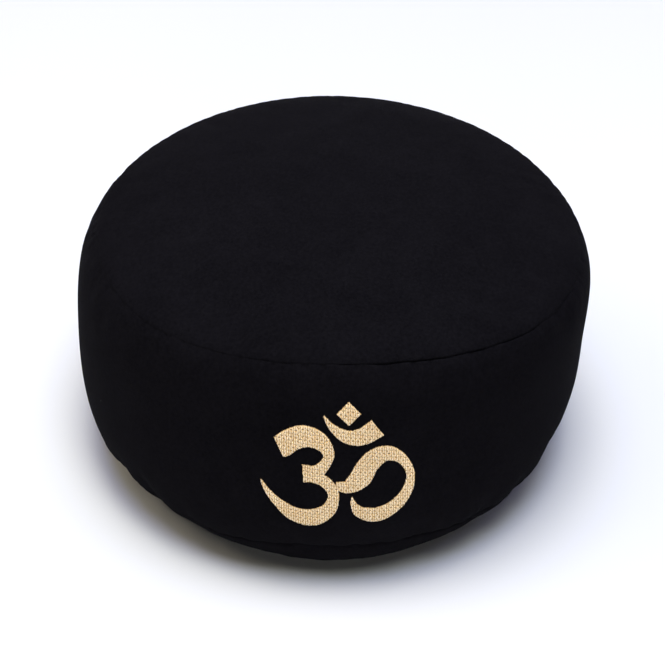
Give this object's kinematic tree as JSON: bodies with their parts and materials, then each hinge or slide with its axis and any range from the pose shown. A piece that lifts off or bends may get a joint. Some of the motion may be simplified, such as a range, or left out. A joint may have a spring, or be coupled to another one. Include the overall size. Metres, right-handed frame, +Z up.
{
  "type": "round meditation cushion",
  "caption": "Round filled sitting cushion with a crowned top, an upright band with a rounded belly and a flat underside, in black cotton with gold embroidery on the front.",
  "frame": {"origin": "middle of the box's underside, on the face that the cushion rests on", "axes": "+Z up through the crown; the embroidered front faces -Y"},
  "size_m": [0.3318, 0.3306, 0.1818],
  "materials": {
    "cotton_cover": "matt plain-weave black cotton with a faint cool cast",
    "gold_thread": "pale champagne gold embroidery thread with a soft sheen"
  },
  "bodies": {
    "root": {"cushion": "cotton_cover"}
  },
  "joints": []
}
